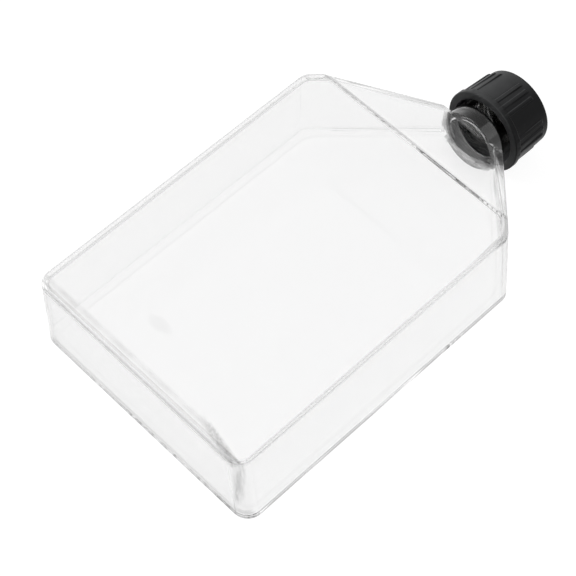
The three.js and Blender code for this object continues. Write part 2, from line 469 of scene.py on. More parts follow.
@dataclass(frozen=True)
class Spot:
    """Point of the flask's surface in the body frame, in millimetres, and how level it lies, from 0 to 1."""

    nodes: Nodes
    sizes: "FlaskSizes"
    place: Wire
    x: Wire
    y: Wire
    z: Wire
    level: Wire
    edge_starts: Range = (0.08, 0.25)
    edge_stops: Range = (0.84, 0.72)
    corner_blend: float = 4.0
    level_from: Range = (0.5, 0.9)
    top_from: Range = (-0.9, -0.5)
    far_from: Range = (-20.0, 20.0)

    @cached_property
    def edge(self) -> Wire:
        """1 on the rounded edges, which neither stand upright nor lie level."""
        return self.level.smooth(*self.edge_starts) * self.level.smooth(*self.edge_stops)

    @cached_property
    def drawn(self) -> Wire:
        """Distance from the middle, with the draft of the walls taken off."""
        return self.z * (self.sizes.side_draft / self.sizes.depth) + abs(self.y)

    @cached_property
    def slant_gap(self) -> Wire:
        """Distance inwards from the shoulder's slanting walls."""
        s, turn_in = self.sizes, (self.x - self.sizes.shoulder_start) * math.tan(self.sizes.shoulder_angle)
        return (s.half_width(s.shoulder_start, 0) - turn_in - self.drawn) * math.cos(s.shoulder_angle)

    @cached_property
    def gap(self) -> Wire:
        """Distance inwards from the nearest side wall."""
        side = self.sizes.half_width(0, 0) - self.x * (self.sizes.side_taper / self.sizes.face_length) - self.drawn
        return side.math("SMOOTH_MIN", self.slant_gap, self.corner_blend)

    @cached_property
    def flat(self) -> Wire:
        """1 where the surface lies level."""
        return self.level.smooth(*self.level_from)

    @cached_property
    def top(self) -> Wire:
        """1 on the growth face."""
        return (self.z - self.sizes.depth).smooth(*self.top_from) * self.flat

    @cached_property
    def far(self) -> Wire:
        """0 on the near side, up to 1 on the far side."""
        return self.y.smooth(*self.far_from)


@dataclass(frozen=True)
class PaintedWallShade:
    """Painted shade on the walls, grey by the way they face: darker on the near side, the base wall, the near
    slanting wall and the rounded edges.
    """

    # Painted shade levels, and where each is painted:
    side_light: float = 0.905
    near_light: float = 0.875
    near_from: Range = (0.0, -4.0)
    base_light: float = 0.83
    base_from: Range = (4.0, 2.5)
    slant_light: float = 0.75
    slant_run: float = 4.0
    foot_light: float = 0.985
    foot_from: Range = (1.8, 1.0)
    fall_light: float = 0.93
    fall_from: Range = (0.3, 0.8)
    face_light: float = 0.985
    face_from: Range = (0.9, 0.98)
    edge_light: float = 0.95

    def share(self, at: Spot) -> Wire:
        """Share of light that the painted wall shade leaves.

        Args:
            at: where on the flask.

        Returns:
            The share of light.
        """
        # Painted shade: each wall is painted grey by where it lies and how it faces.
        near, start = at.y.smooth(*self.near_from), at.sizes.shoulder_start
        side = near.between(self.side_light, self.near_light)
        side = at.x.smooth(*self.base_from).between(side, self.base_light)
        side = (at.x.smooth(start - self.slant_run, start) * near).between(side, self.slant_light)
        side = at.z.smooth(*self.foot_from).between(side, self.foot_light)
        steep = at.level.smooth(*self.fall_from).between(side, self.fall_light)
        flat = at.level.smooth(*self.face_from) * (self.face_light - self.fall_light)
        return (steep + flat) * at.edge.dims(self.edge_light)


@dataclass(frozen=True)
class PaintedEdgeShadeAndSmudge:
    """Painted dark lines standing in for the shade along the clear walls' edges, round the growth face, along the
    crease, down the shoulder and round the floor, with painted dark shade in the throat and a faint smudge.
    """

    cloud_scale: float = 0.16
    cloud_detail: float = 3.0
    uneven: Spread = (0.35, 0.65, 0.45, 1.0)
    past_base: Range = (1.0, 4.0)
    # Painted shade lines along the edges, and how dark they are painted:
    rim_light: float = 0.7
    rim_far_light: float = 0.86
    rim_width: float = 1.25
    rim_far_width: float = 2.2
    rim_soft: float = 0.4
    corner_x: Range = (97.0, 102.0)
    corner_y: Range = (0.0, -20.0)
    corner_rim_light: float = 0.4
    outer_line: Line = Line(0.35, 0.35, 0.15, 0.68)
    inner_line: Line = Line(2.05, 0.4, 0.2, 0.82)
    base_line: Line = Line(0.82, 0.28, 0.15, 0.38)
    step_line: Line = Line(2.25, 0.3, 0.2, 0.58)
    step_strength: Range = (0.45, 0.95)
    base_band: Line = Line(3.7, 0.8, 0.7, 0.7)
    band_bend: float = 2.1
    band_bend_from: Range = (-25.0, -38.0)
    smudge_at: Triple = (15.8, 6.4, 29.5)
    smudge_squeeze: Triple = (0.5, 0.25, 0.5)
    smudge_from: Range = (1.9, 0.8)
    smudge_light: float = 0.9
    crease_line: Line = Line(0.15, 0.65, 0.3, 0.58)
    crease_from: Range = (-2.2, -1.6)
    faint_from: Range = (6.0, -12.0)
    faint_to: Range = (-36.0, -30.0)
    faint_share: float = 0.25
    fall_from: Range = (0.5, 2.0)
    shoulder_line: Line = Line(0.75, 0.7, 0.3, 0.55)
    shoulder_level: Range = (0.5, 0.8)
    shoulder_strength: Range = (0.5, 1.0)
    # Painted dark shade in the throat:
    throat_light: float = 0.07
    throat_x: Range = (125.5, 130.0)
    throat_gap: Range = (3.2, 2.2)
    throat_y: Range = (0.0, -6.0)
    throat_level: Range = (0.3, 0.6)
    edge_light: float = 0.45
    edge_on_shoulder: float = 0.5
    edge_on_near_side: float = 0.12
    end_corner_light: float = 0.88
    end_corner_x: Range = (4.0, 1.0)
    end_corner_y: Range = (34.0, 38.0)
    weld_line: Line = Line(3.3, 0.6, 0.4, 0.62)
    weld_x: Range = (4.0, 2.5)
    weld_level: Range = (0.3, 0.1)
    floor_line: Line = Line(3.8, 0.25, 0.2, 0.965)
    floor_from: Range = (1.0, 0.2)
    floor_rim: float = 0.98
    floor_rim_from: Range = (4.1, 3.9)

    def share(self, at: Spot) -> Wire:
        """How much light the painted lines, the painted throat shade and the smudge let through."""
        return self.round_face(at) * self.on_face(at) * self.on_shoulder(at) * self.at_base(at)

    def corner(self, at: Spot) -> Wire:
        """1 at the near corner of the shoulder."""
        return at.x.smooth(*self.corner_x) * at.y.smooth(*self.corner_y)

    def round_face(self, at: Spot) -> Wire:
        """Painted shade lines that follow the growth face's outline.

        Args:
            at: where on the flask.

        Returns:
            The share of light.
        """
        # Painted shade: dark strips along the growth face's edges, darker at the near corner of the shoulder.
        on_rim = at.top * at.x.smooth(*self.past_base)
        inward = at.gap - at.far * (self.rim_far_width - self.rim_width)
        rim = inward.smooth(self.rim_width + self.rim_soft, self.rim_width - self.rim_soft) * on_rim
        extra = self.corner(at) * (self.corner_rim_light - self.rim_light)
        return (rim.dims(at.far.between(self.rim_light, self.rim_far_light) + extra)
                * self.inner_line.share(at.gap, on_rim * at.far) * self.outer_line.share(at.gap, on_rim * at.far))

    def on_face(self, at: Spot) -> Wire:
        """Painted shade lines and band along the base end, and a smudge on the growth face near it.

        Args:
            at: where on the flask.

        Returns:
            The share of light.
        """
        cloud = at.nodes.noise(at.place, self.cloud_scale, self.cloud_detail)
        uneven = cloud.spread(*self.uneven)
        bend = at.y.smooth(*self.band_bend_from) * self.band_bend
        off = at.place.vector("SUBTRACT", self.smudge_at).vector("MULTIPLY", self.smudge_squeeze)
        smudge = (off.vector("LENGTH", output="Value") + cloud).smooth(*self.smudge_from) * at.top
        # Painted shade lines and band along the base end; the smudge is a mark on the face.
        return (self.base_line.share(at.x, at.top) * self.base_band.share(at.x + bend, at.top * uneven)
                * self.step_line.share(at.x, at.top * uneven.between(*self.step_strength))
                * smudge.dims(self.smudge_light))

    def on_shoulder(self, at: Spot) -> Wire:
        """Painted shade lines along the crease and the shoulder, painted shade on the rounded edges, and painted dark
        shade in the throat.

        Args:
            at: where on the flask.

        Returns:
            The share of light.
        """
        past_crease = at.x - at.sizes.face_length
        falling = past_crease.smooth(*self.fall_from)
        strength = falling * at.level.smooth(*self.shoulder_level) * at.far.between(*self.shoulder_strength)
        # Painted dark shade in the throat.
        throat = at.x.smooth(*self.throat_x) * at.slant_gap.smooth(*self.throat_gap)
        throat = throat * at.y.smooth(*self.throat_y) * at.level.smooth(*self.throat_level)
        # Painted shade on the rounded edges by the shoulder and on the near side.
        dark = self.corner(at).math("MAXIMUM", falling * self.edge_on_shoulder)
        dark = dark.math("MAXIMUM", at.far.between(self.edge_on_near_side, 0.0))
        faint = (at.y.smooth(*self.faint_from) * at.y.smooth(*self.faint_to)).dims(self.faint_share)
        high = (at.z - at.sizes.depth).smooth(*self.crease_from)
        return (self.shoulder_line.share(at.slant_gap, strength) * throat.dims(self.throat_light)
                * (dark * at.edge).dims(self.edge_light) * self.crease_line.share(past_crease, high * faint))

    def at_base(self, at: Spot) -> Wire:
        """Grey lines painted on the base wall and round the floor of the cavity, and darker paint at the base wall's
        far corner.

        Args:
            at: where on the flask.

        Returns:
            The share of light.
        """
        # Grey lines painted on the base wall and round the cavity's floor, with darker paint at the far corner.
        weld = self.weld_line.share(at.z, at.x.smooth(*self.weld_x) * at.level.smooth(*self.weld_level))
        corner = at.y.smooth(*self.end_corner_y) * at.x.smooth(*self.end_corner_x)
        low = (at.z - at.sizes.plate).smooth(*self.floor_from) * at.flat
        inside = at.gap.math("SMOOTH_MIN", at.x, at.corner_blend)
        rim = (inside.smooth(*self.floor_rim_from) * low).dims(self.floor_rim)
        return weld * corner.dims(self.end_corner_light) * self.floor_line.share(inside, low) * rim


@dataclass(frozen=True)
class Crinkle:
    """Crinkled streak down the near corner of the base end, where the gate was, and on along the face."""

    light: float = 0.58
    squeeze: Triple = (1.4, 1.4, 0.22)
    cloud_scale: float = 0.9
    cloud_detail: float = 3.0
    cloud_share: Spread = (0.35, 0.62, 0.25, 1.0)
    wall_y: float = 38.3
    wall_lean: float = 0.08
    wall_width: float = 0.45
    wall_widening: float = 0.055
    wall_soft: Range = (1.3, 0.4)
    wall_x: Range = (3.2, 2.2)
    wall_z: Range = (4.0, 12.0)
    band_x: float = 1.4
    band_y: float = 38.5
    band_slope: float = 0.2
    band_soft: Range = (1.7, 0.5)
    band_ends: Range = (-21.0, -31.0)
    band_z: Range = (26.0, 28.0)

    def share(self, at: Spot) -> Wire:
        """How much light the streak lets through.

        Args:
            at: where on the flask.

        Returns:
            The share of light.
        """
        cloud = at.nodes.noise(at.place.vector("MULTIPLY", self.squeeze), self.cloud_scale, self.cloud_detail)
        off = abs(at.y + at.z * self.wall_lean + self.wall_y) / (at.z * self.wall_widening + self.wall_width)
        wall = off.smooth(*self.wall_soft) * at.x.smooth(*self.wall_x) * at.z.smooth(*self.wall_z)
        band = abs(at.x - (at.y + self.band_y) * self.band_slope - self.band_x).smooth(*self.band_soft)
        band = band * at.y.smooth(*self.band_ends) * at.z.smooth(*self.band_z)
        return (wall.math("MAXIMUM", band) * cloud.spread(*self.cloud_share)).dims(self.light)


@dataclass(frozen=True)
class PaintedCollarShade:
    """Painted shade on the thick collar, standing in for the dark inside of the cap seen through it, as places along
    the neck's axis and distances from it.
    """

    # Painted shade levels on the collar:
    light: float = 0.14
    deep_light: float = 0.06
    deep_from: Range = (2.0, 4.5)
    deep_lean: float = 0.35
    deep_cloud: float = 2.0
    cloud_scale: float = 0.35
    cloud_detail: float = 4.0
    cloud_light: float = 0.1
    cloud_shift: float = 0.8
    begins: Range = (-7.0, -6.0)
    ends: Range = (-0.8, -1.6)
    inner: Range = (8.0, 8.2)
    outer: Range = (11.2, 10.7)

    def share(self, at: Spot) -> Wire:
        """How much light the painted collar shade leaves.

        Args:
            at: where on the flask.

        Returns:
            The share of light.
        """
        s = at.sizes
        moved = at.place.vector("ADD", (-s.rim_x, 0.0, -s.neck_height))
        level_neck = at.nodes.wire("ShaderNodeVectorRotate", 0, {"rotation_type": "Y_AXIS"}, {
            "Vector": moved, "Angle": -s.neck_lean})
        along, across, up = at.nodes.split(level_neck)
        radius = (across * across + up * up).math("SQRT")
        cloud = at.nodes.noise(at.place, self.cloud_scale, self.cloud_detail)
        collar = (along + cloud * self.cloud_shift).smooth(*self.begins) * along.smooth(*self.ends)
        collar = collar * radius.smooth(*self.inner) * radius.smooth(*self.outer)
        # Painted shade, darker towards one side of the collar and broken up by noise.
        deep = (up + across * self.deep_lean + cloud * self.deep_cloud).smooth(*self.deep_from)
        return collar.dims(deep.between(self.light, self.deep_light) + cloud * self.cloud_light)


@dataclass(frozen=True)
class ClearPlastic:
    """Clear moulded polystyrene, with painted shade in its colour: walls greyer by the way they face, dark lines
    along its edges, and shade on the collar and in the throat, besides a crinkled streak in the plastic.
    """

    sizes: "FlaskSizes"
    ior: float = 1.59
    roughness: float = 0.0
    lamp_share: Colour = (0.97, 0.97, 0.97, 1.0)
    wave_scale: float = 38.0
    wave_detail: float = 1.0
    wave_depth: float = 0.00001
    # Painted shade of the walls, the edges and the collar, and a real crinkled streak:
    walls: PaintedWallShade = PaintedWallShade()
    marks: PaintedEdgeShadeAndSmudge = PaintedEdgeShadeAndSmudge()
    crinkle: Crinkle = Crinkle()
    collar: PaintedCollarShade = PaintedCollarShade()

    def build(self, place: Matrix) -> bpy.types.Material:
        """Makes the material.

        Args:
            place: matrix from the body frame to the row frame.

        Returns:
            The material.
        """
        material, nodes = new_material("clear_polystyrene")
        coordinates = nodes.add("ShaderNodeTexCoord").outputs
        where = Wire(nodes, coordinates["Object"])
        shift, turn, scale = place.inverted().decompose()
        inner = nodes.wire("ShaderNodeMapping", 0, {"vector_type": "POINT"}, {
            "Vector": where, "Location": shift, "Rotation": turn.to_euler(), "Scale": scale})
        at = Spot(nodes, self.sizes, inner, *nodes.split(inner), abs(nodes.split(coordinates["Normal"])[2]))
        # The clear plastic's colour carries painted shade: wall shade, edge lines and collar shade; the crinkle is a
        # streak in the plastic.
        light = self.walls.share(at) * self.marks.share(at) * self.crinkle.share(at) * self.collar.share(at)
        glass = nodes.wire("ShaderNodeBsdfPrincipled", 0, None, {
            "Base Color": light, "Roughness": self.roughness, "IOR": self.ior, "Transmission Weight": 1.0,
            "Normal": nodes.bump(nodes.noise(where, self.wave_scale, self.wave_detail), self.wave_depth)})
        through = nodes.wire("ShaderNodeBsdfTransparent", 0, None, {"Color": self.lamp_share})
        shadow = nodes.wire("ShaderNodeLightPath", "Is Shadow Ray")
        nodes.show(nodes.either(shadow, glass, through))
        return material


@dataclass(frozen=True)
class BlackPlastic:
    """Black moulded polyethylene: satin, with a fine mould grain, faint handling marks and one side painted lighter,
    standing in for light falling on it.
    """

    colour: Colour = (0.0048, 0.005, 0.0053, 1.0)
    worn: Colour = (0.012, 0.0125, 0.013, 1.0)
    # Painted light: colour of the side that is painted as if lit, which way it faces and how far it spreads.
    painted_light_colour: Colour = (0.056, 0.057, 0.058, 1.0)
    painted_light_side: Triple = (-0.55, 0.5, 0.72)
    painted_light_from: Range = (0.2, 0.85)
    painted_light_share: Range = (0.6, 1.2)
    ior: float = 1.17
    roughness: Spread = (0.3, 0.7, 0.3, 0.46)
    worn_roughness: float = 0.08
    cloud_scale: float = 140.0
    cloud_detail: float = 3.0
    cloud_from: Range = (0.4, 0.65)
    mark_scale: float = 900.0
    mark_detail: float = 4.0
    mark_rough: float = 0.65
    mark_from: Range = (0.58, 0.74)
    mark_height: float = 0.6
    grain_scale: float = 5200.0
    grain_depth: float = 0.000012

    def build(self) -> bpy.types.Material:
        """Makes the material.

        Returns:
            The material.
        """
        material, nodes = new_material("black_polyethylene")
        coordinates = nodes.add("ShaderNodeTexCoord").outputs
        place = Wire(nodes, coordinates["Object"])
        cloud = nodes.noise(place, self.cloud_scale, self.cloud_detail)
        marks = nodes.noise(place, self.mark_scale, self.mark_detail, self.mark_rough)
        wear = marks.smooth(*self.mark_from) * cloud.smooth(*self.cloud_from)
        # Painted light: the side that faces one way is painted lighter, as if lit from there.
        facing = Wire(nodes, coordinates["Normal"]).vector("DOT_PRODUCT", self.painted_light_side, "Value")
        painted_light = facing.smooth(*self.painted_light_from) * cloud.between(*self.painted_light_share)
        height = nodes.noise(place, self.grain_scale) + marks * self.mark_height
        nodes.show(nodes.wire("ShaderNodeBsdfPrincipled", 0, None, {
            "Base Color": nodes.blend(painted_light, nodes.blend(wear, self.colour, self.worn), self.painted_light_colour),
            "Roughness": cloud.spread(*self.roughness) + wear * self.worn_roughness,
            "IOR": self.ior, "Normal": nodes.bump(height, self.grain_depth)}))
        return material


@dataclass(frozen=True)
class LinerFoam:
    """White closed-cell foam with a fine skin of cells."""

    colour: Colour = (0.8, 0.8, 0.77, 1.0)
    shade: Colour = (0.68, 0.68, 0.65, 1.0)
    shade_from: Range = (0.25, 0.7)
    cell_scale: float = 2600.0
    cell_depth: float = 0.00004
    cell_strength: float = 0.6
    roughness: float = 0.62
    ior: float = 1.45

    def build(self) -> bpy.types.Material:
        """Makes the material.

        Returns:
            The material.
        """
        material, nodes = new_material("liner_foam")
        place = nodes.wire("ShaderNodeTexCoord", "Object")
        cells = nodes.wire("ShaderNodeTexVoronoi", "Distance", None, {"Vector": place, "Scale": self.cell_scale})
        nodes.show(nodes.wire("ShaderNodeBsdfPrincipled", 0, None, {
            "Base Color": nodes.blend(cells.smooth(*self.shade_from), self.colour, self.shade),
            "Roughness": self.roughness, "IOR": self.ior,
            "Normal": nodes.bump(1.0 - cells, self.cell_depth, self.cell_strength)}))
        return material


# ---------------------------------------------------------- pieces


@dataclass(frozen=True)
class FlaskSizes:
    """Sizes of the body, shoulder and neck, in millimetres in the body frame."""

    face_length: float = 108.6
    face_width: float = 83.3
    depth: float = 29.5
    side_taper: float = 0.47
    side_draft: float = 1.75
    base_draft: float = 0.15
    wall: float = 1.4
    plate: float = 1.4
    seam: float = 0.3
    seam_notch: float = 0.12
    seam_lap: float = 0.05
    base_corner: float = 5.2
    shoulder_corner: float = 5.0
    upper_edge: float = 0.5
    cavity_edge: float = 1.0
    crease_corner: float = 3.4
    throat_taper: float = 2.0
    plate_edge: float = 0.3
    shoulder_setback: float = 4.3
    shoulder_angle: float = math.radians(45)
    throat_half_width: float = 11.2
    throat_height: float = 13.4
    neck_lean: float = math.radians(6.1)
    neck_height: float = 6.688
    neck_stub: float = 4.7
    neck_wall: float = 1.4
    collar_step: float = 0.8
    collar_stop: float = 1.6
    root_length: float = 7.2
    root_cone: float = 0.5
    root_radius: float = 8.3
    throat_radius: float = 7.4
    throat_run: float = 0.6
    lip_round: float = 0.4

    @property
    def shoulder_start(self) -> float:
        """Where the side walls turn in."""
        return self.face_length - self.shoulder_setback

    @property
    def shoulder_end(self) -> float:
        """Where the shoulder ends and the neck goes on."""
        half = self.face_width / 2 - self.side_taper * self.shoulder_start / self.face_length
        return self.shoulder_start + (half - self.throat_half_width) / math.tan(self.shoulder_angle)

    @property
    def fall_angle(self) -> float:
        """Slope of the falling face."""
        return math.atan((self.depth - self.throat_height) / (self.shoulder_end - self.face_length))

    @property
    def rim_x(self) -> float:
        """Where the cap's rim plane meets the neck's axis."""
        return self.shoulder_end + self.neck_stub

    def half_width(self, x: float, z: float) -> float:
        """Half the width between the straight parts of the side walls."""
        return self.face_width / 2 - self.side_taper * x / self.face_length + self.side_draft * (1 - z / self.depth)


@dataclass
class FlaskBody:
    """The clear flask: body, shoulder and threaded neck, welded to the back plate."""

    sizes: FlaskSizes = field(default_factory=FlaskSizes)
    closure: Closure = field(default_factory=Closure)
    flat_share: float = math.cos(math.pi / 16)
    corner_steps: int = 56
    round_levels: int = 9
    plate_rounds: int = 4
    neck_segments: int = 144
    neck_step: float = 1.0
    thread_step: float = 0.2
    lip_steps: int = 5
    crease: float = math.radians(34)

    def ring(self, x: float, y: float, z: float, radius: float) -> list[Vector]:
        """Points of a level ring round a centre."""
        reach = radius * self.flat_share
        return [Vector((x + reach * math.cos(a), y + reach * math.sin(a), z)) for a in evenly(self.corner_steps)]

    def rounded_top(self, x: float, y: float, top: float, corner: float, edge: float) -> list[Vector]:
        """Points of the round on top of an upright corner.

        Args:
            x: centre of the corner along the flask.
            y: centre across.
            top: height of the flat face above it.
            corner: radius of the upright corner.
            edge: radius of the round.

        Returns:
            The points, in rings that close in as they rise.
        """
        points = []
        for level in range(self.round_levels):
            rise = level / (self.round_levels - 1) * math.pi / 2
            radius = corner - edge * (1 - math.cos(rise))
            points += self.ring(x, y, top - edge * (1 - math.sin(rise)), radius)
        return points

    def block(self, name: str, inset: float, edge: float, levels: Profile,
              top: bool = True, narrower: float = 0.0) -> Piece:
        """Convex block of the body's shape.

        Args:
            name: the object's name.
            inset: how far it lies inside the body's sharp-edged outline.
            edge: radius of the edges round its top.
            levels: height of each outline below the rounded top, and how far it stands out there.
            top: whether the block goes up to the growth face.
            narrower: how much it narrows towards the throat on each side.

        Returns:
            The block.
        """
        s = self.sizes
        reach = inset + edge
        end_x = s.shoulder_end - reach
        corner = s.crease_corner - inset
        crease_x = s.face_length - reach * math.tan(s.fall_angle / 2) - (corner - edge)
        turn_x = s.shoulder_start - s.shoulder_corner * math.tan(s.shoulder_angle / 2)
        fall_z = (s.depth - (end_x - s.face_length) * math.tan(s.fall_angle)
                  - reach / math.cos(s.fall_angle) + edge)
        points = []

        def base_x(z: float) -> float:
            """Centre of the corners at the base end, whose wall leans in a little."""
            return s.base_corner + s.base_draft * z / s.depth

        for side in (1, -1):
            def shoulder_y(x: float, z: float, radius: float) -> float:
                """Centre of a round that touches the slanting wall."""
                return side * (s.half_width(s.shoulder_start, z) - (x - s.shoulder_start) * math.tan(s.shoulder_angle)
                               - (inset + radius) / math.cos(s.shoulder_angle))

            def end_y(z: float) -> float:
                """Centre of the corner at the throat."""
                return shoulder_y(end_x, z, edge) - side * narrower

            def base_y(z: float) -> float:
                """Centre of the corner at the base end."""
                return side * (s.half_width(0, z) - s.base_corner)

            def turn_y(z: float) -> float:
                """Centre of the corner where the side wall turns in."""
                return side * (s.half_width(turn_x, z) - s.shoulder_corner)

            for z, out in levels:
                points += self.ring(base_x(z), base_y(z), z, s.base_corner - inset + out)
                points += self.ring(turn_x, turn_y(z), z, s.shoulder_corner - inset + out)
                points += self.ring(end_x, end_y(z), z, edge + out)
            if not top:
                continue
            face = s.depth - inset
            points += self.rounded_top(base_x(s.depth), base_y(s.depth), face, s.base_corner - inset, edge)
            points += self.rounded_top(turn_x, turn_y(s.depth), face, s.shoulder_corner - inset, edge)
            points += self.rounded_top(crease_x, shoulder_y(crease_x, s.depth, corner), face, corner, edge)
            points += self.rounded_top(end_x, end_y(s.throat_height), fall_z, edge, edge)
        return hull(name, points)

    def neck_frame(self) -> Matrix:
        """Places what is made about Z, with zero at the cap's rim plane, on the neck's axis in the body frame."""
        spin = Matrix.Rotation(math.pi / 2 + self.sizes.neck_lean, 4, "Y")
        return Matrix.Translation((self.sizes.rim_x, 0, self.sizes.neck_height)) @ spin

    def on_neck(self, name: str, profile: Profile, relief: Relief | None = None) -> Piece:
        """Solid of revolution about the neck's axis.

        Args:
            name: the object's name.
            profile: as for turned.
            relief: as for turned.

        Returns:
            The solid, in the body frame.
        """
        made = turned(name, profile, evenly(self.neck_segments), relief)
        made.data.transform(self.neck_frame())
        return made

    def neck(self) -> Piece:
        """Outside of the neck: root cone, collar, threaded barrel and rounded lip.

        Returns:
            The solid neck, in the body frame.
        """
        s, c = self.sizes, self.closure
        barrel, collar = c.barrel_radius, c.barrel_radius + s.collar_step
        profile = [(0, -s.root_length), (s.root_radius, -s.root_length)]
        for radius, low, high, step in ((collar, s.root_cone - s.root_length, -s.collar_stop, self.neck_step),
                                        (barrel, -s.collar_stop, c.mouth, self.thread_step)):
            profile += rows((radius, low), (radius, high - s.lip_round), step)
            profile += arc((radius - s.lip_round, high - s.lip_round), s.lip_round, 0, 90, self.lip_steps)[1:]

        def thread(angle: np.ndarray, radius: np.ndarray, along: np.ndarray) -> np.ndarray:
            """Raises the thread on the barrel."""
            on_barrel = np.isclose(radius, barrel)
            return radius + np.where(on_barrel, c.thread.height(angle, along, c.thread.start), 0)

        return self.on_neck("neck", [*profile, (0, c.mouth)], thread)

    def bore(self) -> Piece:
        """What is taken out of the neck.

        Returns:
            The solid, in the body frame.
        """
        s, c = self.sizes, self.closure
        start, stop = s.wall / 3 - s.root_length, c.mouth + s.wall
        radius = c.barrel_radius - s.neck_wall
        return self.on_neck("bore", [(0, start), (s.throat_radius, start), (radius, start + s.throat_run),
                                     (radius, stop), (0, stop)])

    def outside(self) -> Piece:
        """Outer skin of the body: the shell on its back plate, with the weld's notch between them.

        Returns:
            The solid block, in the body frame.
        """
        s = self.sizes
        middle = s.plate + s.seam / 2
        shell = [(middle - s.seam_lap, -s.seam_notch - s.seam_lap), (middle + s.seam_notch, 0)]
        plate = [(middle - s.seam_notch, 0), (middle, -s.seam_notch)]
        for turn in np.linspace(0, math.pi / 2, self.plate_rounds + 1):
            plate.append((s.plate_edge * (1 - math.sin(turn)), -s.plate_edge * (1 - math.cos(turn))))
        block = self.block("flask_body", 0, s.upper_edge, shell)
        return merged(block, self.block("plate", 0, s.upper_edge, plate, top=False), Merge.JOIN)

    def build(self, place: Matrix) -> Piece:
        """Builds and dresses the flask.

        Args:
            place: matrix from the body frame to the row frame.

        Returns:
            The finished piece.
        """
        s = self.sizes
        flask = self.outside()
        merged(flask, self.neck(), Merge.JOIN)
        cavity = self.block("cavity", s.wall, s.cavity_edge, [(s.plate, 0)], narrower=s.throat_taper)
        merged(flask, cavity, Merge.REMOVE)
        merged(flask, self.bore(), Merge.REMOVE)
        finished(flask, place, self.crease)
        flask.data.materials.clear()
        flask.data.materials.append(ClearPlastic(s).build(place))
        return flask


@dataclass
class GripRibs:
    """Geometry Nodes tree that raises groups of grip ribs on a cap's skirt."""

    groups: int = 6
    ribs_per_group: int = 3
    spacing: float = math.radians(12)
    phase: float = math.radians(18)
    width: float = 1.2
    flank: float = 0.32
    rim_height: float = 0.2
    end_height: float = 0.45
    start: float = 1.9
    stop: float = 13.2
    lead_in: Range = (-0.5, 0.3)
    lead_out: float = 0.45

    def inputs(self) -> dict[str, float]:
        """The tree's named inputs and their values."""
        return {
            "Group Angle": TURN / self.groups, "Group Phase": self.phase, "Rib Spacing": self.spacing,
            "Outer Ribs": (self.ribs_per_group - 1) / 2, "Rib Width": self.width, "Flank": self.flank,
            "Height at Rim": self.rim_height, "Height at End": self.end_height,
            "Start": self.start, "Stop": self.stop, "Least Radius": 0.0,
        }

    def tree(self) -> bpy.types.NodeTree:
        """Builds the tree.

        Returns:
            The node group.
        """
        tree = bpy.data.node_groups.new("grip_ribs", "GeometryNodeTree")
        face = tree.interface
        face.new_socket("Geometry", in_out="INPUT", socket_type="NodeSocketGeometry")
        for name in self.inputs():
            face.new_socket(name, in_out="INPUT", socket_type="NodeSocketFloat")
        face.new_socket("Material", in_out="INPUT", socket_type="NodeSocketMaterial")
        face.new_socket("Geometry", in_out="OUTPUT", socket_type="NodeSocketGeometry")
        nodes = Nodes(tree)
        given = nodes.add("NodeGroupInput")

        def value(name: str) -> Wire:
            """A named input."""
            return Wire(nodes, given.outputs[name])

        x, y, along = nodes.split(nodes.wire("GeometryNodeInputPosition"))
        radius = (x * x + y * y).math("SQRT")
        group, outer = value("Group Angle"), value("Outer Ribs")
        turn = y.math("ARCTAN2", x) - value("Group Phase") + group * (self.groups + 0.5)
        turn = turn.math("FLOORED_MODULO", group) - group * 0.5
        nearest = (turn / value("Rib Spacing")).math("ROUND").math("MINIMUM", outer).math("MAXIMUM", outer * -1.0)
        off = abs(turn - nearest * value("Rib Spacing")) * radius
        half, flank = value("Rib Width") * 0.5, value("Flank")
        across = off.smooth(half + flank * 0.5, half - flank * 0.5)
        start, stop = value("Start"), value("Stop")
        begins, ends = (along - start).smooth(*self.lead_in), along.smooth(stop, stop - self.lead_out)
        height = along.smooth(start, stop).between(value("Height at Rim"), value("Height at End"))
        outside = radius.math("GREATER_THAN", value("Least Radius"))
        rise = across * begins * ends * height * outside / radius
        offset = nodes.wire("ShaderNodeCombineXYZ", 0, None, {0: x * rise, 1: y * rise})
        moved = nodes.add("GeometryNodeSetPosition", None, {"Geometry": given.outputs["Geometry"], "Offset": offset})
        real = nodes.add("GeometryNodeRealizeInstances", None, {0: moved.outputs[0]})
        dressed = nodes.add("GeometryNodeSetMaterial", None, {
            "Geometry": real.outputs[0], "Material": given.outputs["Material"]})
        nodes.add("NodeGroupOutput", None, {0: dressed.outputs[0]})
        return tree

    def raise_on(self, cap: Piece, least_radius: float, material: bpy.types.Material) -> Piece:
        """Runs the tree on a cap and keeps the result as its mesh.

        Args:
            cap: the turned cap about Z.
            least_radius: only what lies outside this radius is raised.
            material: finish of the whole cap.

        Returns:
            The cap.
        """
        ribs = cap.modifiers.new("grip_ribs", "NODES")
        ribs.node_group = self.tree()
        values = {**self.inputs(), "Least Radius": least_radius, "Material": material}
        for item in ribs.node_group.interface.items_tree:
            if item.in_out == "INPUT" and item.name in values:
                ribs[item.identifier] = values[item.name]
        return settled(cap)


